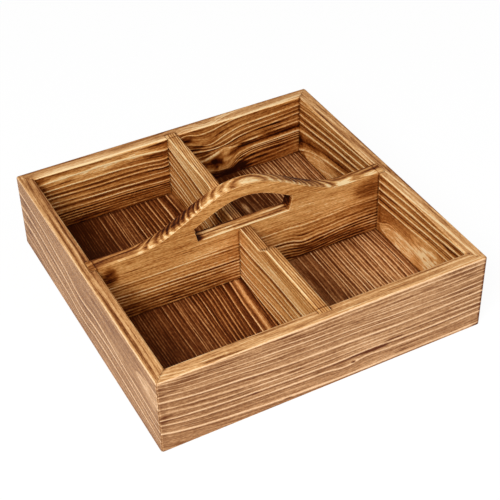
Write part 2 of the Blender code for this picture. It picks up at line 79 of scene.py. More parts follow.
# Boards. Lengths are millimetres in the dish's own frame.
# along, across and through are the axes of the grain, of the growth rings and of the thickness.
# face is where the face that shows best lies, and inward points from it into the wood. outward is the
# way that the paler, greyer side looks: the outside of a wall, the underside of the other boards.
# base is how pale the wood is, from 0 to 1. tilt is how fast the rings drift through the thickness, and
# bow bends them there. pallor is the least share of the outer colours that a board has.
# top is for the upper edge: how much paler it is painted, which is painted light from above, how much of
# the rings' contrast it loses (a negative number adds contrast), and its share of the outer colours.
# A guide is a growth ring's course over the face: its number, then points (along, across).
# A ring is (growth, how much paler or darker, half width).
# A patch is a paler or darker place: (along, across, half length, half height, how much darker). Besides
# charring, patches paint shade and light: shadows that the walls and the divider cast on the floors, shade
# low down and in corners, lit parts of the floor, and on the rims, sill and arch painted highlights on the
# edges towards the lamps and painted shade on the edges away from them.
# topPatches lie on what faces up between two heights, with the depth in place of across. deepPatches
# start behind the face. A clear place shows no rings.
# A tongue is a pale tip of early wood: (tip, where it is full, end, level of its middle at the tip and
# where it is full, half height, how much paler).
# seamTops is how high the glue line with another board reaches.
boards = {
    "front_wall": {
        "slot": "wall_pine", "along": "x", "across": "z", "through": "y",
        "face": -150, "inward": 1, "outward": (0, -1, 0),
        "tilt": 1.0, "base": 0.57, "top": (0.20, 0.30, 0.4),
        "guides": {
            3.5: [(-150, 20.5), (-140, 17.5), (-120, 13.3), (-100, 10.5), (-85, 8.7), (-60, 6.8), (-20, 4.5),
                  (0, 3.2), (50, 2.9), (150, 3)],
            15.5: [(-150, 29.5), (-140, 27), (-118, 23), (-90, 20), (-60, 18), (-20, 16.3), (1, 15.8),
                   (10, 14), (16, 13.4), (22, 13.8), (28, 15.7), (57, 15.6), (81, 14.5), (150, 15.5)],
            22.5: [(-150, 35), (-140, 33), (-115, 30), (-85, 27), (-60, 25), (-30, 23.5), (0, 22.5),
                   (45, 22.8), (75, 21), (150, 21)],
            28.5: [(-150, 41.5), (-140, 40), (-120, 35.7), (-90, 32.3), (-60, 30.3), (-20, 28.8), (50, 28),
                   (150, 26)],
            33: [(-150, 47), (-130, 42.5), (-110, 40.5), (-80, 36.5), (-60, 35), (0, 33), (50, 31.5),
                 (150, 32)],
            40: [(-150, 54), (-130, 50), (-110, 47), (-80, 44.5), (-60, 43), (-25, 41), (0, 40), (50, 38),
                 (150, 38.5)],
            47.5: [(-150, 59.5), (-120, 55), (-80, 51.8), (-48, 49.3), (0, 47.5), (50, 46), (115, 44.5),
                   (150, 45)],
            52.5: [(-150, 65.5), (-130, 60.5), (-100, 58), (-70, 55.5), (-20, 53), (0, 52.5), (115, 49),
                   (150, 49.5)],
            74: [(-150, 81), (-100, 76), (-50, 74.4), (0, 74), (150, 74)]},
        "rings": [
            (3.5, 0.26, 1.6), (10, 0.06, 1.0), (15.5, 0.20, 1.5), (19, 0.05, 0.8), (22.5, 0.26, 1.2),
            (25.7, 0.04, 0.8), (28.5, 0.18, 1.0), (33, 0.18, 1.1), (36.5, 0.05, 0.8), (40, 0.28, 1.2),
            (44, 0.06, 0.8), (47.5, 0.20, 1.0), (50, 0.06, 0.7), (52.5, 0.20, 1.0), (55.5, 0.06, 0.8),
            (58.3, 0.18, 1.0), (61, 0.06, 0.8), (63, 0.17, 0.9), (66, 0.13, 0.9), (70, 0.13, 0.9),
            (73.2, 0.16, 1.0), (76.5, 0.10, 1.0), (79.2, -0.10, 0.9), (82, 0.10, 1.1), (84.6, -0.12, 0.9)],
        "patches": [
            (28, 21.3, 9, 0.9, 0.7), (44, 20.2, 12, 1.4, 0.9), (10, 20.6, 9, 0.8, 0.3),
            (61, 23.9, 10, 1.0, 0.55), (73, 19.8, 7, 0.9, 0.25), (-68, 24, 3, 1.3, 0.34),
            (22.5, 15.2, 2.2, 1.3, 1.1), (22.5, 15.4, 6.0, 2.8, -0.36), (72, 7, 6, 1.6, 0.18),
            (-38, 4, 3, 1.3, 0.25), (-9, 19, 6, 1.0, 0.24), (-115, 68, 32, 2.6, 0.16),
            (-142, 61, 12, 1.3, 0.26), (-143, 31.8, 7, 1.2, 0.28), (-142, 37, 7, 1.4, 0.2),
            (-80, 68.5, 9, 1.1, 0.25), (-40, 71.5, 12, 1.2, 0.24), (-30, 66.5, 10, 1.1, 0.28),
            (-15, 66, 5, 0.9, 0.22), (-2, 65.5, 5, 0.9, 0.22), (-38, 62.3, 12, 0.9, 0.16),
            (-30, 31.5, 8, 0.9, 0.2), (-80, 30.7, 16, 1.1, 0.15), (120, 72, 20, 1.1, 0.25),
            (125, 67, 16, 1.1, 0.22), (134, 61, 6, 1.0, 0.25), (112, 56.5, 14, 0.9, 0.14),
            (130, 47, 22, 1.1, 0.20), (136, 40.5, 5, 1.1, 0.16), (140, 23.5, 12, 1.3, 0.20),
            (126, 28.5, 20, 0.9, 0.14), (60, 63, 18, 1.0, 0.16), (30, 58, 14, 0.9, 0.14),
            (-148, 40, 5, 40, 0.10), (-110, 40, 45, 40, 0.04), (60, 30, 90, 40, -0.03),
            (149.4, 40, 2.0, 60, 0.45), (146, 2.5, 5, 2.6, 0.3)],
        # the paler front edge of the rim, (0, 0.2), is a painted highlight
        "topPatches": [(70, 80, [
            (-65, 10, 48, 0.9, 0.26), (-92, 2.7, 27, 1.5, 0.30), (-122, 2.2, 12, 1.8, -0.20),
            (-60, 5.2, 60, 0.9, -0.18), (-25, 3, 12, 1.0, 0.22), (85, 7, 60, 0.8, 0.20),
            (70, 4, 60, 0.8, 0.18), (100, 10.5, 42, 0.8, 0.16), (0, 0.2, 148, 0.9, -0.12)])],
    },
    "left_wall": {
        "slot": "wall_pine", "along": "y", "across": "z", "through": "x",
        "face": -150, "inward": 1, "outward": (-1, 0, 0),
        "tilt": 1.0, "base": 0.55, "top": (0.14, 0.30, 0.4),
        "guides": {
            5: [(-150, 4), (0, 5), (150, 9)],
            14.5: [(-150, 11), (-110, 14), (-60, 17), (-20, 17), (0, 14.5), (15, 14.5), (35, 19), (55, 20),
                   (83, 22), (110, 27), (150, 28)],
            27: [(-150, 22), (-115, 25.5), (-80, 29), (-60, 30), (-30, 29), (0, 27), (20, 29), (45, 34),
                 (70, 36.5), (100, 40), (130, 42), (150, 41)],
            38: [(-150, 30), (-110, 33.3), (-80, 36), (-50, 39.5), (-25, 41.5), (0, 39), (10, 40), (20, 42),
                 (37, 48), (60, 50.5), (90, 56), (120, 58), (150, 58.5)],
            74: [(-150, 74), (150, 76)]},
        "rings": [
            (6, 0.08, 1.2), (9.5, 0.08, 1.0), (14.5, 0.25, 1.6), (20.5, 0.08, 1.2), (27, 0.25, 1.7),
            (32.5, 0.07, 1.0), (38, 0.27, 1.8), (46, 0.04, 2.0), (54, 0.05, 2.2), (63, 0.04, 2.0),
            (70, 0.06, 1.4), (74, 0.12, 1.2), (76.6, -0.14, 0.9), (79, 0.10, 1.1), (81.6, -0.16, 0.9),
            (84.5, 0.10, 1.0)],
        "patches": [
            (-65, 60, 62, 13, 0.06), (0, 10, 150, 14, -0.05), (83, 19.5, 2.5, 3.5, -0.15),
            (132, 22, 4, 2.5, 0.2), (131, 53.5, 7, 1.5, 0.16), (128, 36.5, 13, 2.2, 0.18),
            (-148, 40, 3, 40, 0.08), (100, 32, 16, 3, 0.06), (-20, 35.5, 40, 2.5, 0.05)],
        "tongues": [(-111, -148, -170, 53.5, 54, 8.5, 0.26)],
        # the darker inner edge of the rim, (0, 12.4), is painted shade and the paler outer edge, (20, 1.0), a
        # painted highlight
        "topPatches": [(70, 80, [
            (-88, 4.4, 56, 0.9, 0.30), (62, 9.0, 86, 1.0, 0.26), (75, 3.6, 60, 0.9, 0.16),
            (0, 12.4, 146, 1.4, 0.24), (-70, 7.4, 66, 1.0, -0.14), (20, 1.0, 110, 1.2, -0.12),
            (128, 5, 12, 2.2, 0.2)])],
    },
    "back_wall": {
        "slot": "wall_pine", "along": "x", "across": "z", "through": "y",
        "face": 137, "inward": 1, "outward": (0, 1, 0),
        "tilt": 0.8, "base": 0.57, "top": (0.25, 0.40, 0.4),
        "guides": {
            14: [(-137, 14), (0, 14), (40, 13), (65, 13), (137, 17)],
            21.5: [(-137, 22), (-60, 21), (-10, 20), (20, 19), (40, 15.5), (57, 15.5), (64, 19), (68, 22.4),
                   (83, 27.2), (121, 27.7), (137, 28.3)],
            30: [(-137, 31), (-100, 30.5), (-40, 29), (-15, 27), (20, 27), (42, 20), (52, 18.6), (58, 19.4),
                 (63, 26), (68, 30.4), (76, 33.1), (102, 35.1), (137, 35.6)],
            36: [(-137, 37), (-100, 36.5), (-60, 35.5), (-20, 34), (20, 35), (40, 39), (53, 43.5), (62, 42),
                 (75, 43), (100, 45.5), (137, 47)],
            46: [(-137, 47), (-87, 46.5), (-25, 45), (-10, 43.5), (12, 50), (25, 48), (38, 46), (54, 46.3),
                 (69, 51.1), (85, 53.6), (106, 55.3), (137, 57)],
            55.5: [(-137, 56), (-50, 55.5), (-25, 54), (-10, 52.5), (12, 60), (25, 56), (38, 52),
                   (55, 57.8), (69, 61.6), (95, 64), (121, 65), (137, 65.8)],
            64.5: [(-137, 65), (-60, 65.5), (-20, 63.5), (-8, 62), (12, 70), (28, 66.5), (38, 67), (50, 69.5),
                   (65, 72.5), (80, 74), (137, 79)],
            74: [(-137, 74), (0, 74.5), (20, 77), (38, 75), (60, 80), (137, 86)]},
        "rings": [
            (12.5, 0.08, 0.9), (15.5, 0.10, 0.9), (18.5, 0.14, 0.9), (20, -0.10, 0.8), (21.5, 0.16, 0.9),
            (23, -0.10, 0.8), (24.5, 0.16, 0.9), (26, -0.12, 0.8), (27.5, 0.17, 0.9), (30, 0.20, 1.0),
            (33.2, -0.10, 1.6), (36, 0.26, 1.1), (40, 0.16, 0.9), (44, -0.10, 0.8), (46, 0.20, 1.0),
            (48.5, -0.12, 1.0), (50.8, 0.18, 0.9), (55.5, 0.22, 1.1), (60, -0.05, 3.0), (60.4, 0.10, 0.8),
            (64.5, 0.25, 1.1), (69, -0.06, 4.0), (73.6, 0.20, 1.2), (76, 0.12, 1.6), (80, -0.06, 1.2),
            (83, -0.16, 2.0)],
        # the dark at the bottom left, (-90, 12), and the black low down right of the cross divider are
        # charring and painted shade
        "patches": [
            (-108, 60.8, 8, 1.4, 0.28), (-17, 59.5, 10, 2.6, 0.24), (-17, 69.5, 9, 3.2, 0.2),
            (-133, 45, 5, 40, 0.18), (-90, 12, 28, 6, 0.24), (-55, 38.5, 22, 1.8, 0.14),
            (-70, 65.5, 68, 6.5, -0.38), (-70, 22, 66, 9, 0.08), (14, 65, 8, 4.2, 0.34),
            (25, 52.6, 8, 2.8, 0.36), (32, 41, 6, 4.5, 0.30), (34, 58.8, 8, 2.2, -0.16),
            (55, 34, 5.5, 9, -0.10), (59, 25, 5, 7, -0.10), (43.5, 28, 4, 8, 0.20),
            (41, 31.5, 1.7, 2.4, 0.26), (44.5, 23.5, 2, 2.2, 0.28), (50.5, 28, 1.6, 3.2, 0.26),
            (49, 37, 2, 3, 0.2), (45, 14, 18, 4.2, 0.55), (67, 13.5, 14, 4.0, 0.60),
            (70, 18.5, 8, 3.6, 0.50), (73, 42.3, 12, 0.9, 0.62), (77, 39.4, 13, 0.9, 0.55),
            (85, 60, 46, 12, -0.06), (78, 25.4, 12, 1.3, 0.48), (90, 20, 12, 1.0, 0.4),
            (106, 53.1, 20, 1.2, 0.34), (107, 44.7, 17, 1.2, 0.36), (104, 49, 14, 0.9, 0.24),
            (108, 31, 22, 1.1, 0.24), (112, 24.6, 16, 1.0, 0.22), (100, 15, 34, 4, 0.10),
            (118, 40, 16, 1.4, 0.2)],
        "clear": [(53.5, 35, 5.5, 9, 1.0), (59, 26, 5.2, 7.5, 1.0)],
        # the paler inner edge of the rim is a painted highlight and the darker outer edge, (0, 12.4), painted
        # shade
        "topPatches": [(70, 80, [
            (0, 12.4, 148, 2.6, 0.24), (-68, 0.6, 62, 1.6, -0.18), (74, 0.8, 60, 1.6, -0.18),
            (30, 6.4, 110, 1.0, 0.12), (-80, 7.6, 60, 1.0, 0.12), (-142, 5, 8, 7, 0.16)])],
    },
    "right_wall": {
        "slot": "wall_pine", "along": "y", "across": "z", "through": "x",
        "face": 137, "inward": 1, "outward": (1, 0, 0),
        "tilt": 0.9, "base": 0.60, "top": (0.14, 0.30, 0.4),
        "guides": {
            10: [(-137, 12), (0, 9), (137, 0)],
            28: [(-137, 30), (-80, 26), (-60, 27), (-40, 28.5), (-25, 27.5), (-13, 20), (0, 17), (40, 20),
                 (100, 13), (137, 3)],
            42.5: [(-137, 50), (-110, 48.5), (-60, 45), (-30, 43), (-12, 42), (30, 39), (55, 35), (85, 30),
                   (100, 26.5), (110, 24), (120, 20), (137, 12)],
            51: [(-137, 58.5), (-110, 57), (-80, 55.5), (-40, 52.5), (-12, 50.5), (40, 48), (70, 45),
                 (95, 42.5), (130, 37.5), (137, 36)],
            58: [(-137, 66.5), (-100, 64), (-60, 61), (-10, 57.5), (30, 55.5), (70, 53.5), (100, 50),
                 (137, 46.5)],
            66: [(-137, 72.5), (-100, 70.5), (-60, 68.5), (-10, 65.5), (20, 63.5), (60, 61), (100, 58),
                 (137, 55.3)],
            73: [(-137, 81), (-60, 76.5), (-20, 74), (10, 71), (40, 69.5), (80, 67), (120, 64), (137, 62)]},
        "rings": [
            (13, 0.08, 1.2), (28, 0.12, 1.4), (42.5, 0.20, 1.3), (46.5, -0.14, 1.0), (51, 0.24, 1.3),
            (55.6, -0.12, 1.0), (58, 0.25, 1.3), (61.8, -0.06, 1.6), (66, 0.25, 1.3), (69.5, -0.06, 1.6),
            (73, 0.22, 1.3), (76.5, 0.06, 1.2), (79.5, 0.16, 1.2), (83, -0.10, 1.2), (86, 0.12, 1.2),
            (89.5, -0.12, 1.2)],
        # (8, 40) and (-9, 45) are painted shade in the corners beside the handle board
        "patches": [
            (-84, 33, 20, 13, -0.33), (-98, 22, 20, 12, -0.20), (-80, 24, 60, 18, -0.05),
            (-38, 36, 26, 4, 0.08), (-50, 62, 80, 12, -0.09), (60, 42, 60, 5, 0.10),
            (112, 30.5, 15, 3.6, 0.18), (134, 26, 6, 7, 0.28), (8, 40, 5, 34, 0.14), (-9, 45, 3, 34, 0.10),
            (-118, 61, 12, 2.0, 0.2), (-125, 68, 12, 2.0, 0.16), (-27, 57.4, 12, 1.2, 0.22),
            (-22, 47, 10, 1.2, 0.16), (-83, 28, 2.2, 2.6, 0.45), (-92, 35, 4, 1.6, 0.3),
            (-72, 38, 5, 1.4, 0.26), (-96, 27, 6, 1.0, 0.3), (-76, 33, 5, 0.9, 0.26),
            (45, 51, 14, 2.0, 0.16)],
        "tongues": [
            (-11, -40, -66, 17.5, 19.5, 8.5, 0.26), (125, 80, 20, 15, 14, 16, 0.07),
            (126, 98, 66, 15, 16, 10, 0.15)],
        # the darker outer edge of the rim, (0, 12.6), is painted shade
        "topPatches": [(70, 80, [
            (0, 12.6, 148, 1.6, 0.26), (80, 2.6, 66, 1.0, 0.24), (-60, 9, 80, 0.9, 0.18),
            (60, 8, 70, 0.9, 0.16), (-70, 5, 60, 1.2, -0.14), (-142, 3, 5, 4, 0.22)])],
    },
    "handle_board": {
        "slot": "handle_pine", "along": "x", "across": "z", "through": "y",
        "face": -6.5, "inward": 1, "outward": (0, 0, -1),
        "tilt": 0.22, "bow": 0.035, "base": 0.70, "top": (0.04, -1.3, 0.15),
        "seamTops": {"cross_divider": 62},
        "guides": {
            0: [(-142, 3), (20, 0), (45, -2), (80, 0), (142, 0)],
            25: [(-142, 29), (-10, 24.5), (37, 24), (46, 23), (54, 20.8), (68, 19.4), (80, 20.6),
                 (95, 22.4), (142, 23)],
            33: [(-142, 36), (-10, 32.6), (31, 32.4), (40, 32.1), (49, 30.3), (56, 27.6), (63, 27.4),
                 (72, 29), (85, 29.6), (100, 31), (142, 31.4)],
            51: [(-142, 52), (0, 50.5), (142, 50)],
            110: [(-142, 119), (-60, 115), (0, 110), (60, 104.5), (142, 97)]},
        "rings": [
            (9, 0.16, 0.9), (12.4, 0.20, 0.9), (15.8, 0.20, 0.9), (19.2, 0.22, 0.9), (22.6, 0.22, 0.9),
            (26, 0.22, 0.9), (27.6, -0.08, 0.8), (29.4, 0.20, 0.9), (31, -0.12, 0.8), (33, 0.20, 0.9),
            (36.6, 0.14, 0.9), (40, 0.12, 0.9), (43.4, 0.08, 0.9), (46.8, 0.20, 0.9), (50, 0.08, 0.9),
            (54.5, -0.04, 1.0), (58, 0.04, 1.0)] + [
            (61.6 + 2.5 * i + 0.4 * math.sin(2.3 * i), 0.05 + 0.02 * (i % 3), 0.6) for i in range(15)] + [
            (62.9 + 2.5 * i + 0.4 * math.sin(1.7 * i), -0.05 - 0.02 * (i % 2), 0.7) for i in range(15)] + [
            (100.8, 0.05, 0.9), (102.4, -0.04, 0.8), (104, 0.05, 0.8), (105.4, -0.04, 0.6), (107, 0.07, 0.8),
            (108.8, -0.07, 0.4), (110.2, 0.10, 0.6)],
        # the dark low down, (-75, 17) and (72, 14), is charring and painted shade
        "patches": [
            (-126, 61, 6.5, 9, 0.42), (124, 60, 13, 9, 0.30), (-107, 69, 5, 1.6, 0.14),
            (-57, 46.6, 8, 1.0, -0.16), (-20, 48.6, 11, 1.0, 0.25), (-20, 45.4, 10, 1.0, 0.22),
            (-64, 50.6, 9, 0.9, 0.12), (-26, 25, 6, 2, 0.16), (-75, 17, 62, 11, 0.28),
            (-118, 30, 16, 18, 0.10), (-40, 30.3, 30, 1.0, 0.14), (72, 14, 66, 10, 0.35),
            (125, 30, 18, 16, 0.10), (120, 46, 18, 1.2, 0.22), (99, 40.5, 7, 1.8, 0.16),
            (0, 62, 150, 13, -0.06), (80, 62, 50, 13, -0.06), (108, 25, 8, 1.4, 0.2),
            (116, 40.6, 16, 1.0, -0.14), (85, 29, 58, 13, 0.06), (116, 43.6, 22, 0.9, 0.16),
            (108, 37, 26, 0.9, 0.16), (58, 38.4, 20, 0.9, 0.16), (72, 43.4, 18, 0.9, 0.12),
            (50, 33.6, 16, 0.9, 0.12)],
        "clear": [(0, 63, 150, 11, 1.0), (-90, 68, 40, 9, 0.6), (95, 68, 40, 8, 0.6), (0, 92, 90, 26, 1.0)],
        # the dark at the hand hole's ends and on the back of the arch is charring and painted shade
        "deepPatches": [
            (-47, 71, 3.5, 8, 0.9), (47, 71, 3.5, 8, 0.7), (-62, 92, 34, 12, 0.16), (62, 92, 34, 12, 0.22)],
        # on the sill and the arch the paler front edges are painted highlights, and the darker backs are
        # painted shade with charring
        "topPatches": [
            (60, 70, [(0, 0.6, 60, 1.5, -0.30), (0, 3.4, 55, 0.8, 0.40), (0, 7.2, 60, 0.7, 0.32),
                      (0, 9.4, 60, 0.8, -0.16), (0, 12.4, 60, 1.3, 0.50),
                      (-44, 6.5, 5.4, 9, 0.7), (0, 6, 60, 9, -0.10)]),
            (70, 120, [(-30, 2.4, 14, 1.6, -0.26), (42, 2.6, 30, 1.8, -0.28),
                       (-56, 10.4, 34, 3.8, 0.36), (54, 12.2, 36, 2.4, 0.20), (-62, 1.8, 34, 1.8, -0.26),
                       (112, 3.0, 30, 3.2, -0.40), (112, 9.5, 28, 2.6, 0.20), (-118, 1.4, 26, 1.4, -0.28),
                       (-116, 4.6, 26, 0.9, 0.24), (-114, 8.6, 26, 0.9, 0.18), (-116, 12.4, 26, 1.0, 0.2),
                       (141, 6.5, 5, 9, 0.24)])],
    },
    "cross_divider": {
        "slot": "divider_pine", "along": "y", "across": "z", "through": "x",
        "face": -5.25, "inward": 1, "outward": (0, 0, -1),
        "tilt": 1.5, "base": 0.74, "top": (0.03, -0.6, 0.15),
        "guides": {
            0: [(-142, 0), (0, 0), (142, 6)],
            13: [(-142, 13.5), (-10, 12), (60, 17), (142, 23)],
            21: [(-142, 23), (-80, 23), (-10, 20), (40, 24), (90, 30), (142, 35)],
            33: [(-142, 34), (-60, 34), (-10, 31), (30, 34), (80, 41.5), (142, 48.5)],
            50: [(-142, 50), (-60, 51), (-10, 49), (30, 50), (65, 55.5), (100, 59.5), (142, 64.5)],
            68: [(-142, 68), (0, 68), (142, 80)]},
        "rings": [
            (10, 0.16, 1.0), (13, 0.25, 1.0), (17.6, 0.18, 0.9), (21, 0.30, 1.1), (26, 0.12, 0.9),
            (33, 0.33, 1.1), (38, 0.12, 1.0), (43.5, 0.16, 1.1), (47, -0.16, 1.4), (50.5, 0.32, 1.3),
            (54, 0.10, 2.4), (60, 0.06, 2.0)] + [
            (62.5 + 3.1 * i, -0.07, 0.8) for i in range(12)] + [
            (64.1 + 3.1 * i, 0.055, 0.8) for i in range(12)],
        "patches": [
            (110, 68, 50, 8, -0.10), (25, 36, 20, 34, 0.40), (90, 28, 62, 34, 0.07), (120, 16, 26, 8, 0.12),
            (-60, 60, 60, 5, -0.06)],
        # the paler left edge of the top, (0, 0.5), is a painted highlight and the darker right edge, (0,
        # 9.4), painted shade
        "topPatches": [(60, 80, [
            (0, 0.5, 150, 1.2, -0.26), (0, 2.6, 150, 0.6, 0.16), (0, 9.4, 150, 0.8, 0.20),
            (-90, 5.6, 60, 0.6, 0.12)]),
            (60, 68, [(0, 5, 40, 9, 0.10)])],
    },
    "floor_board_left": {
        "slot": "floor_pine", "along": "y", "across": "x", "through": "z",
        "face": 10, "inward": -1, "outward": (0, 0, -1), "tilt": 0.7, "base": 0.31, "pallor": 0.38,
        "guides": {
            -143: [(-143, -143), (143, -143)],
            -60: [(-143, -61), (0, -60), (143, -58)]},
        "rings": [
            (-138.5 + 2.4 * i, 0.10 + 0.03 * (i % 3), 0.6) for i in range(21)] + [
            (-86, 0.10, 0.7), (-83, 0.26, 0.7), (-78, 0.22, 0.7), (-75.5, 0.14, 0.6), (-72, 0.28, 0.7),
            (-70, 0.16, 0.6), (-66, 0.20, 0.6), (-63, 0.12, 0.6), (-60, 0.30, 0.7), (-57.4, 0.12, 0.6)],
        # (-60, -108) and (75, -112) are the left wall's painted shadow
        "patches": [(-60, -108, 66, 30, 0.10), (75, -112, 68, 32, 0.26), (125, -97, 12, 9, 0.10)],
    },
    "floor_board_middle": {
        "slot": "floor_pine", "along": "y", "across": "x", "through": "z",
        "face": 10, "inward": -1, "outward": (0, 0, -1), "tilt": 0.7, "base": 0.33, "pallor": 0.25,
        "guides": {
            -57: [(-143, -60), (-75, -58), (0, -57), (143, -57)],
            -30: [(-143, -37), (-75, -34), (-10, -30), (60, -28), (143, -28)],
            -17: [(-143, -25), (-75, -21.5), (-10, -17), (60, -12), (143, -11)],
            43: [(-143, 41), (0, 43), (143, 43)]},
        "rings": [
            (-54, 0.28, 0.7), (-51.5, 0.12, 0.6), (-49, 0.28, 0.7), (-46, 0.14, 0.6), (-43, 0.28, 0.7),
            (-39, 0.30, 0.7), (-34.5, 0.30, 0.8), (-31, 0.22, 0.6), (-27.5, 0.14, 0.6), (-24, 0.36, 0.8),
            (-17, 0.38, 0.9), (-11, 0.20, 4.5), (-4, 0.32, 0.8), (3, 0.30, 0.8), (9, 0.28, 0.8),
            (15, 0.30, 0.8), (20.5, 0.26, 0.8), (26, 0.28, 0.8), (31, 0.24, 0.7), (36, 0.28, 0.8),
            (40, 0.22, 0.7)],
        "patches": [
            # (85, 21) and (84, 40), right of the cross divider, are its painted shadow
            (-110, -12, 34, 8, -0.10), (85, -11, 50, 5, 0.16), (85, 21, 24, 6, 0.16), (84, 40, 18, 4, 0.2)],
    },
    "floor_board_right": {
        "slot": "floor_pine", "along": "y", "across": "x", "through": "z",
        "face": 10, "inward": -1, "outward": (0, 0, -1), "tilt": 0.7, "base": 0.53, "pallor": 0.5,
        "guides": {
            43: [(-143, 40), (-60, 42), (20, 43), (143, 43)],
            66: [(-143, 62), (-60, 65), (20, 66), (143, 67)],
            143: [(-143, 143), (143, 143)]},
        "rings": [
            (46, 0.12, 0.8), (53, 0.24, 0.8), (60, 0.22, 0.8)] + [
            (66 + 3.3 * i + 0.6 * math.sin(2.1 * i), 0.32 - 0.12 * (i % 2), 0.55) for i in range(23)] + [
            (67.8 + 3.3 * i + 0.4 * math.sin(1.3 * i), -0.08 - 0.05 * (i % 2), 0.7) for i in range(23)],
        "patches": [
            # the dark beside the cross divider is painted shadow, the back corner's dark is charring and
            # painted shadow, and the paler part by the right wall is painted light
            (-70, 54, 80, 12, 0.18), (81, 47, 8.5, 2.6, -0.55), (88, 62, 32, 20, 0.32),
            (132, 57, 9, 17, 0.40), (-70, 112, 70, 30, -0.17), (90, 112, 50, 28, -0.08)],
    },
}

diceStep = {"along": 3.0, "across": 1.0, "through": 1.1}  # mm; the vertices carry the rings and the relief
copyLimits = {"weld": 1e-6, "flat": math.radians(0.2), "smooth": math.radians(38)}

pine = {  # burnt, brushed and varnished; lengths in mm, tones from 0, black, to 1, palest
    "inner": [(0.0, "#220800"), (0.15, "#421303"), (0.3, "#6A310A"), (0.45, "#8F501C"), (0.6, "#B57437"),
              (0.75, "#D69A56"), (0.9, "#EFB570"), (1.0, "#FFE0A8")],
    "outer": [(0.0, "#642C0A"), (0.2, "#713E1A"), (0.4, "#8D5E38"), (0.6, "#B6865B"), (0.8, "#D9AC80"),
              (1.0, "#F0C89E")],
    "ringDepth": 2.3, "ringWidth": 0.62,
    "ringMiddle": 0.5, "ringSpare": (12.0, 26.0), "profilePoints": 250,  # the curve that holds the rings
    "shade": 0.55, "shadeFade": 2.0,                 # the dark under each pale ring, and how far it fades
    "wander": (45.0, 16.0), "wanderReach": 0.9,      # how the rings waver
    "streaks": {                                     # length, width, detail, strength
        "fibre": (50.0, 0.8, 2.0, 0.31),             # thin lasting streaks
        "fleck": (3.0, 0.9, 2.0, 0.27),              # brush marks, coarser than the real ones so they show
        "band": (60.0, 7.0, 3.0, 0.22),              # broad uneven colour
        "dash": (20.0, 1.1, 1.0, 1.0),               # where a dark streak lies
        "fade": (40.0, 5.0, 1.0, 0.8),               # rings come and go along the board
        "char": (14.0, 2.5, 2.0, 1.3)},              # how uneven the patches are: charring, painted shade and painted highlights
    "streakApart": (17.3, 9.1, 31.0),                # keeps streaks and boards from looking alike
    "dashFrom": 0.22, "dashFull": 0.50, "dashDark": 0.20,
    "seamWidth": (0.3, 1.9), "seamDark": 0.24,       # glue line that the torch left dark
    "housed": 0.01,                                  # what is nearer than this sits inside a groove
    "cornerShadeReach": 14.0, "cornerShadeDark": 0.08,         # painted shade, darker into the inside corners beside the glued boards
    "mitreFade": (139.0, 148.0, 0.10),               # the mitre's line fades from its inner end, to a tenth
    "mitreSpread": 1.4,
    "tongueFade": 6.0, "tonguePlain": 0.7,
    "tongueRim": (0.4, 0.6),                         # how pale a tongue's bright edge is, and how far inside
    "topTurn": (0.4, 0.9), "outerTurn": (0.2, 0.7),  # how squarely a face has to look that way
    "flatTurn": (0.875, 1.0),                        # the relief stays off rounded edges
    "clearDepth": (1.5, 0.5), "deepFull": 5.0,
    # the dark tint of charred places, also given to painted shade
    "charShadeTint": "#3A1708", "charShadeTintMost": 0.25, "charShadeTintFull": -0.6,
    "markDepth": 10.0, "markFade": 0.8,              # the torch's marks and the painted shade fade from the face into the wood
    "relief": 0.35, "reliefBlur": 1.0, "hollowTone": (0.3125, -0.3125),  # brushed out between the rings
    "wearPale": 0.24, "bump": 0.40, "bumpStrength": 0.8, "roughness": 0.50, "specular": 0.09,
}


def rise(values, none, full):  # 0 up to one value, 1 from the other
    return np.clip((values - none) / (full - none), 0, 1)


def curveThrough(points, at):  # smooth curve through given points
    xs, ys = (np.array(v, float) for v in zip(*points))
    slopes = np.gradient(ys, xs)
    i = np.clip(np.searchsorted(xs, at) - 1, 0, len(xs) - 2)
    width = xs[i + 1] - xs[i]
    t = np.clip((at - xs[i]) / width, 0, 1)
    ease = t * t * (3 - 2 * t)
    lean = t * (1 - t)
    return (ys[i] * (1 - ease) + ys[i + 1] * ease
            + width * lean * ((1 - t) * slopes[i] - t * slopes[i + 1]))


def growthAt(guides, along, across):  # which ring a point lies on, read between the guides
    numbers = sorted(guides)
    courses = [curveThrough(guides[number], along) for number in numbers]
    growth = numbers[0] + across - courses[0]
    for low, high, lowCourse, highCourse in zip(numbers, numbers[1:], courses, courses[1:]):
        share = (across - lowCourse) / (highCourse - lowCourse)
        growth = np.where(share > 0, low + share * (high - low), growth)
    return np.where(across > courses[-1], numbers[-1] + across - courses[-1], growth)


def ringTone(rings, growth, blur=0.0):  # each pale ring shades off into darker wood on its lower side
    tone = np.zeros(len(growth))
    for ring, paler, halfWidth in rings:
        line = np.exp(-((growth - ring) / math.hypot(halfWidth * pine["ringWidth"], blur)) ** 2)
        tone += paler * line
        if paler > 0:
            under = np.where(growth < ring, np.exp((growth - ring) / pine["shadeFade"]), 0)
            tone -= paler * pine["shade"] * under * (1 - line)
    return tone


def patchesAt(patches, along, across):  # how much darker the listed patches make a point: charring, painted shade and painted highlights
    charAndPaintedLight = np.zeros(len(along))
    for centre, level, halfLength, halfHeight, darker in patches:
        reach = np.hypot((along - centre) / halfLength, (across - level) / halfHeight)
        charAndPaintedLight += darker * np.exp(-reach ** 4)
    return charAndPaintedLight


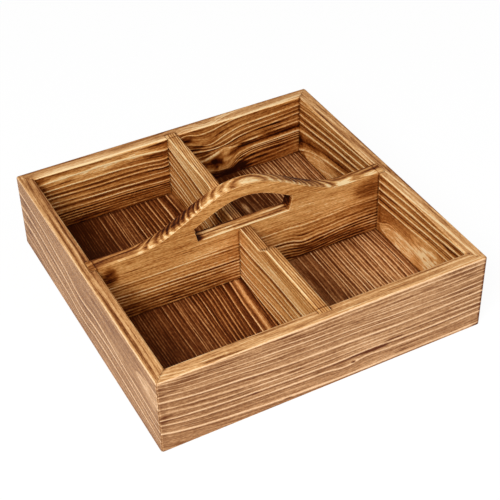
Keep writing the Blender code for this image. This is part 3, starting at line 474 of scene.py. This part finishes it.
def tongueAt(tongues, along, across):  # pale tips with a bright edge: how pale, and how plain
    pale, plain = np.zeros((2, len(along)))
    rimPale, rimInside = pine["tongueRim"]
    for tip, full, end, tipLevel, fullLevel, halfHeight, paler in tongues:
        share = rise(along, tip, full)
        inside = halfHeight * np.sqrt(share) - np.abs(across - tipLevel - share * (fullLevel - tipLevel))
        lasts = rise(along, end - pine["tongueFade"], end + pine["tongueFade"]) * (share > 0)
        mask = rise(inside, -0.5, 0.5) * lasts
        pale += paler * (mask + rimPale * np.exp(-(inside - rimInside) ** 2) * lasts)
        plain = np.maximum(plain, pine["tonguePlain"] * mask)
    return pale, plain


def isPast(part, axis, place):  # whether any of a vertex, edge or face lies past a plane
    corners = [part] if isinstance(part, bmesh.types.BMVert) else part.verts
    return any(corner.co[axis] > place for corner in corners)


def diceBoard(bm, board):  # cuts a board into small cells, each row on what the last cut left above it
    for name, step in diceStep.items():
        axis = "xyz".index(board[name])
        normal = Vector((0, 0, 0))
        normal[axis] = 1
        places = [v.co[axis] / mm for v in bm.verts]
        whole = bm.verts[:] + bm.edges[:] + bm.faces[:]
        for place in np.arange(min(places) + step / 2, max(places), step) * mm:
            cut = bmesh.ops.bisect_plane(bm, geom=whole, plane_co=normal * place, plane_no=normal)
            whole = [part for part in cut["geom"] if isPast(part, axis, place + copyLimits["weld"])]


def dicedCopy(nodeName, board):  # the CAD board's shape again, fine enough for the relief
    bm = bmesh.new()
    bm.from_mesh(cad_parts[nodeName].data)
    bmesh.ops.remove_doubles(bm, verts=bm.verts, dist=copyLimits["weld"])
    bmesh.ops.dissolve_limit(bm, angle_limit=copyLimits["flat"], verts=bm.verts, edges=bm.edges)
    diceBoard(bm, board)
    mesh = bpy.data.meshes.new(nodeName + "_brushed")
    bm.to_mesh(mesh)
    bm.free()
    mesh.shade_smooth()
    mesh.set_sharp_from_angle(angle=copyLimits["smooth"])
    return mesh


def makeAttribute(mesh, name, domain, values):
    kind, key = ("FLOAT_VECTOR", "vector") if values.ndim == 2 else ("FLOAT", "value")
    mesh.attributes.new(name, kind, domain).data.foreach_set(key, values.astype(np.float32).ravel())


def brushedBoard(nodeName, board):
    mesh = dicedCopy(nodeName, board)
    points, normals = np.empty((2, len(mesh.vertices), 3), np.float32)
    mesh.vertices.foreach_get("co", points.ravel())
    mesh.vertex_normals.foreach_get("vector", normals.ravel())
    points /= mm
    along, across, through = (points[:, "xyz".index(board[name])] for name in ("along", "across", "through"))
    depth = (through - board["face"]) * board["inward"]
    growth = growthAt(board["guides"], along, across)
    growth += (board["tilt"] - board.get("bow", 0) * depth) * depth
    long, wide = pine["wander"]
    seed = len(nodeName) + board["base"]
    growth += pine["wanderReach"] * np.array(
        [noise.noise((a / long, g / wide, seed)) for a, g in zip(along, growth)])
    makeAttribute(mesh, "grain", "POINT", np.column_stack([along, growth, depth]))

    # charring from the torch, with painted shade and painted highlights, from the listed patches
    charAndLightMarks = patchesAt(board["patches"], along, across)
    charAndLightMarks *= 1 - pine["markFade"] * rise(depth, 0, pine["markDepth"])
    charAndLightMarks += rise(depth, 0, pine["deepFull"]) * patchesAt(board.get("deepPatches", []), along, across)
    for low, high, patches in board.get("topPatches", []):
        between = (across > low) & (across < high)
        # on what faces up the patches paint highlights and shade along the edges, besides marks in the wood
        charAndLightMarks += rise(normals[:, 2], 0, 1) * between * patchesAt(patches, along, depth)
    pale, clear = tongueAt(board.get("tongues", []), along, across)
    makeAttribute(mesh, "charAndPaintedLight", "POINT", charAndLightMarks - pale)
    clear += rise(depth, *pine["clearDepth"]) * patchesAt(board.get("clear", []), along, across)
    makeAttribute(mesh, "plain", "POINT", np.clip(clear, 0, 1))
    facing = normals[:, "xyz".index(board["through"])] ** 2
    makeAttribute(mesh, "wear", "POINT", 4 * facing * (1 - facing))  # most where an edge is rounded

    faceNormals = np.empty((len(mesh.polygons), 3), np.float32)
    mesh.polygon_normals.foreach_get("vector", faceNormals.ravel())
    outer = rise(faceNormals @ board["outward"], *pine["outerTurn"])
    top = rise(faceNormals[:, 2], *pine["topTurn"])
    makeAttribute(mesh, "top", "FACE", top)
    outer = np.maximum(outer, board.get("top", (0, 0, 0))[2] * top)
    makeAttribute(mesh, "outer", "FACE", np.maximum(outer, board.get("pallor", 0)))

    raised = ringTone(board["rings"], growth, pine["reliefBlur"]) * (1 - clear)
    hollow = rise(raised, *pine["hollowTone"]) * rise(facing, *pine["flatTurn"])
    sunk = (points - normals * (pine["relief"] * hollow)[:, None]) * mm
    mesh.vertices.foreach_set("co", sunk.astype(np.float32).ravel())

    piece = bpy.data.objects.new(nodeName + "_brushed", mesh)
    bpy.context.scene.collection.objects.link(piece)
    piece.modifiers.new("evenNormals", "WEIGHTED_NORMAL").keep_sharp = True
    mesh.materials.append(burntPine(nodeName, board))
    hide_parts(nodeName)
    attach(piece, "root")
    return len(mesh.polygons)


def ringCurve(tree, board, growth):  # the rings' tones, drawn as a curve over their numbers
    growths = sorted(board["guides"])
    below, above = pine["ringSpare"]
    low, high = growths[0] - below, growths[-1] + above
    tones = ringTone(board["rings"], np.linspace(low, high, pine["profilePoints"]))
    tones = pine["ringMiddle"] + tones * pine["ringDepth"]
    place = addNode(tree, "MapRange", {}, Value=growth, From_Min=low, From_Max=high)
    profile = addNode(tree, "FloatCurve", {}, Value=place)
    curve = profile.mapping.curves[0]
    for share, tone in zip(np.linspace(0, 1, len(tones))[1:-1], tones[1:-1]):
        curve.points.new(share, tone)
    curve.points[0].location = (0, tones[0])
    curve.points[-1].location = (1, tones[-1])
    for point in curve.points:
        point.handle_type = "VECTOR"
    profile.mapping.update()
    return profile


def streaksAlong(tree, name, board, grain):  # noises drawn out along the grain, each from minus to plus
    streak = {}
    first, second, third = pine["streakApart"]
    for i, (word, (length, width, detail, strength)) in enumerate(pine["streaks"].items()):
        drawn = addNode(tree, "VectorMath", {"operation": "MULTIPLY_ADD"}, _0=grain,
                        _1=(1 / length, 1 / width, 1 / width),
                        _2=(first * i, second * len(name), third * board["base"]))
        cloud = addNode(tree, "TexNoise", {}, Vector=drawn, Scale=1.0, Detail=detail)
        streak[word] = addNode(tree, "MapRange", {"clamp": False}, Value=cloud,
                               To_Min=-strength, To_Max=strength)
    return streak


def seamBoxes(nodeName, board):  # the boards that this one is glued to, as middle and half size in metres
    for other, neighbour in boards.items():
        if neighbour["slot"] != board["slot"]:
            low, high = (np.array(corner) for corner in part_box(other))
            high[2] = min(high[2], board.get("seamTops", {}).get(other, math.inf) * mm)
            yield (low + high) / 2, (high - low) / 2


def glueLines(tree, name, board):  # how dark the seams are, and the painted shade in the corners beside them
    place = addNode(tree, "TexCoord", {}).outputs["Object"]
    nearest = 1.0  # metres, further than any seam
    for middle, half in seamBoxes(name, board):
        beside = addNode(tree, "VectorMath", absolute,
                         _0=addNode(tree, "VectorMath", minus, _0=place, _1=middle))
        beyond = addNode(tree, "VectorMath", most,
                         _0=addNode(tree, "VectorMath", minus, _0=beside, _1=half), _1=(0, 0, 0))
        away = addNode(tree, "VectorMath", {"operation": "LENGTH"}, _0=beyond).outputs["Value"]
        housed = addNode(tree, "Math", {"operation": "LESS_THAN"}, _0=away, _1=pine["housed"] * mm)
        away = addNode(tree, "Math", plus, _0=away, _1=housed)
        nearest = addNode(tree, "Math", least, _0=nearest, _1=away)
    seamNear, seamFar = (width * mm for width in pine["seamWidth"])
    seam = addNode(tree, "MapRange", {}, Value=nearest, From_Min=seamNear, From_Max=seamFar,
                   To_Min=pine["seamDark"], To_Max=0.0)
    # painted shade: darker towards the inside corners beside the glued boards
    corner = addNode(tree, "MapRange", {}, Value=nearest, From_Min=0.0, From_Max=pine["cornerShadeReach"] * mm,
                     To_Min=-pine["cornerShadeDark"], To_Max=0.0)
    if board["slot"] == "wall_pine":  # the mitres between the walls
        sides = addNode(tree, "SeparateXYZ", {}, _0=addNode(tree, "VectorMath", absolute, _0=place))
        apart = addNode(tree, "Math", absolute,
                        _0=addNode(tree, "Math", minus, _0=sides.outputs[0], _1=sides.outputs[1]))
        reach = addNode(tree, "Math", most, _0=sides.outputs[0], _1=sides.outputs[1])
        fadeFrom, fadeTo, left = pine["mitreFade"]
        strength = addNode(tree, "MapRange", {}, Value=reach, From_Min=fadeFrom * mm, From_Max=fadeTo * mm,
                           To_Min=1.0, To_Max=left)
        line = addNode(tree, "MapRange", {}, Value=apart, From_Min=seamNear * pine["mitreSpread"],
                       From_Max=seamFar * pine["mitreSpread"], To_Min=pine["seamDark"], To_Max=0.0)
        seam = addNode(tree, "Math", plus, _0=seam, _1=addNode(tree, "Math", times, _0=line, _1=strength))
    return seam, corner


def woodColour(tree, tone, outer, unevenCharAndLight):  # the wood's colours inside and outside, tinted where it is charred and where shade is painted
    ramps = []
    for side in ("inner", "outer"):
        ramp = addNode(tree, "ValToRGB", {}, Fac=tone)
        stops = ramp.color_ramp.elements
        while len(stops) < len(pine[side]):
            stops.new(0.5)
        for stop, (at, code) in zip(stops, pine[side]):
            stop.position = at
            stop.color = srgb(code)
        ramps.append(ramp)
    colour = addNode(tree, "Mix", {"data_type": "RGBA"}, _0=outer, _6=ramps[0], _7=ramps[1]).outputs[2]
    # charred places and painted shade take the dark tint
    charAndShadeShare = addNode(tree, "MapRange", {}, Value=unevenCharAndLight, From_Min=0.0, From_Max=pine["charShadeTintFull"],
                      To_Min=0.0, To_Max=pine["charShadeTintMost"])
    tinted = addNode(tree, "Mix", {"data_type": "RGBA"}, _0=charAndShadeShare, _6=colour, _7=srgb(pine["charShadeTint"]))
    return tinted.outputs[2]


# pine charred with a torch and wire-brushed: pale raised rings over brown hollows, under a satin varnish,
# with painted shade and painted light added to its colour
def burntPine(name, board):
    material, tree = newMaterial(name + "_burnt_brushed_pine")
    read = {word: addNode(tree, "Attribute", {"attribute_name": word}).outputs["Fac"]
            for word in ("charAndPaintedLight", "outer", "top", "plain", "wear")}
    grain = addNode(tree, "Attribute", {"attribute_name": "grain"}).outputs["Vector"]
    growth = addNode(tree, "SeparateXYZ", {}, _0=grain).outputs[1]
    streak = streaksAlong(tree, name, board, grain)

    topLight, calm, _ = board.get("top", (0, 0, 0))
    rings = addNode(tree, "Math", minus, _0=ringCurve(tree, board, growth), _1=pine["ringMiddle"])
    for word, loss in (("plain", 1.0), ("top", calm)):
        kept = addNode(tree, "MapRange", {}, Value=read[word], To_Min=1.0, To_Max=1.0 - loss)
        rings = addNode(tree, "Math", times, _0=rings, _1=kept)
    rings = addNode(tree, "Math", times, _0=rings, _1=addNode(tree, "Math", plus, _0=streak["fade"], _1=1.0))
    dashes = addNode(tree, "MapRange", {}, Value=streak["dash"], From_Min=pine["dashFrom"],
                     From_Max=pine["dashFull"], To_Min=0.0, To_Max=-pine["dashDark"])

    seam, corner = glueLines(tree, name, board)
    # the patches' charring, painted shade and painted highlights, with the dark glue lines
    charAndPaintedLight = addNode(tree, "Math", plus, _0=read["charAndPaintedLight"], _1=seam)
    unevenly = addNode(tree, "Math", minus, _0=streak["char"], _1=1.0)
    unevenCharAndLight = addNode(tree, "Math", times, _0=charAndPaintedLight, _1=unevenly)
    wear = addNode(tree, "Math", times, _0=read["wear"], _1=pine["wearPale"])
    # painted light: what faces up is made paler
    paintedTopLight = addNode(tree, "Math", times, _0=read["top"], _1=topLight)
    tone = board["base"]
    for part in (rings, dashes, corner, streak["fibre"], streak["fleck"], streak["band"], unevenCharAndLight, wear, paintedTopLight):
        tone = addNode(tree, "Math", plus, _0=tone, _1=part)

    height = rings
    for part in (dashes, streak["fibre"], streak["fleck"]):
        height = addNode(tree, "Math", plus, _0=height, _1=part)
    bump = addNode(tree, "Bump", {}, Strength=pine["bumpStrength"], Distance=pine["bump"] * mm, Height=height)
    shader = addNode(tree, "BsdfPrincipled", {}, Base_Color=woodColour(tree, tone, read["outer"], unevenCharAndLight),
                     Roughness=pine["roughness"], Specular_IOR_Level=pine["specular"], Normal=bump)
    addNode(tree, "OutputMaterial", {}, Surface=shader)
    return material


cells = sum(brushedBoard(nodeName, board) for nodeName, board in boards.items())
print("boards done:", len(boards), "with", cells, "cells")


steel = {"colour": "#B9BABB", "roughness": 0.32}


def drawnSteel():  # drawn wire, so the pins shine softly
    material, tree = newMaterial("drawn_steel_wire")
    shader = addNode(tree, "BsdfPrincipled", {}, Base_Color=srgb(steel["colour"]), Metallic=1.0,
                     Roughness=steel["roughness"])
    addNode(tree, "OutputMaterial", {}, Surface=shader)
    return material


wire = drawnSteel()
for nodeName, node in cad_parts.items():
    if nodeName.startswith("floor_pin"):
        for slot in node.material_slots:
            slot.material = wire
print("pins done")


stage = {"size": 24.0, "colour": "#F4F4F3", "shown": 0.92, "glow": 1.02}  # shown is the share of plain white


def makeFloor():  # matt paper, which shows as white and still takes the dish's shadow
    bm = bmesh.new()
    bmesh.ops.create_grid(bm, x_segments=1, y_segments=1, size=stage["size"] / 2)
    mesh = bpy.data.meshes.new("studio_floor")
    bm.to_mesh(mesh)
    bm.free()
    floor = bpy.data.objects.new("studio_floor", mesh)
    bpy.context.scene.collection.objects.link(floor)
    material, tree = newMaterial("matt_white_paper")
    paper = addNode(tree, "BsdfDiffuse", {}, Color=srgb(stage["colour"]))
    glow = addNode(tree, "Emission", {}, Color=(1, 1, 1, 1), Strength=stage["glow"])
    path = addNode(tree, "LightPath", {})
    seen = path.outputs["Is Camera Ray"]
    for ray in ("Is Glossy Ray", "Is Transmission Ray"):
        seen = addNode(tree, "Math", most, _0=seen, _1=path.outputs[ray])
    seen = addNode(tree, "Math", times, _0=seen, _1=stage["shown"])
    mixed = addNode(tree, "MixShader", {}, _0=seen, _1=paper, _2=glow)
    addNode(tree, "OutputMaterial", {}, Surface=mixed)
    mesh.materials.append(material)


makeFloor()

lamps = {  # metres and watts; soft squares above the front corners
    "keyLight": {"at": (-1.15, -1.0, 1.45), "size": 0.9, "power": 38},
    "fillLight": {"at": (0.9, -1.3, 1.3), "size": 1.4, "power": 9},
}
worldStrength = 0.26


def makeLights():
    for name, lamp in lamps.items():
        light = bpy.data.lights.new(name, "AREA")
        light.shape = "SQUARE"
        light.size = lamp["size"]
        light.energy = lamp["power"]
        holder = bpy.data.objects.new(name, light)
        holder.location = lamp["at"]
        holder.rotation_euler = (-Vector(lamp["at"])).to_track_quat("-Z", "Y").to_euler()
        bpy.context.scene.collection.objects.link(holder)
    world = bpy.data.worlds.new("studio")
    bpy.context.scene.world = world
    world.use_nodes = True
    world.node_tree.nodes.clear()
    sky = addNode(world.node_tree, "Background", {}, Color=(1, 1, 1, 1), Strength=worldStrength)
    addNode(world.node_tree, "OutputWorld", {}, Surface=sky)


makeLights()

# the photograph's camera, worked out from the dish's corners in it: metres, degrees, millimetres
view = {
    "at": (-0.38349, -0.75790, 0.73005), "turn": (50.690, 1.0255, -28.1614),
    "lens": 89.85, "sensor": 36.0,
}


def makeCamera():
    camera = bpy.data.cameras.new("photoCamera")
    camera.lens = view["lens"]
    camera.sensor_width = view["sensor"]
    holder = bpy.data.objects.new("photoCamera", camera)
    holder.location = view["at"]
    holder.rotation_euler = Euler([math.radians(angle) for angle in view["turn"]])
    bpy.context.scene.collection.objects.link(holder)
    bpy.context.scene.camera = holder


makeCamera()
bpy.context.scene.view_settings.view_transform = "Standard"
print("stage done")
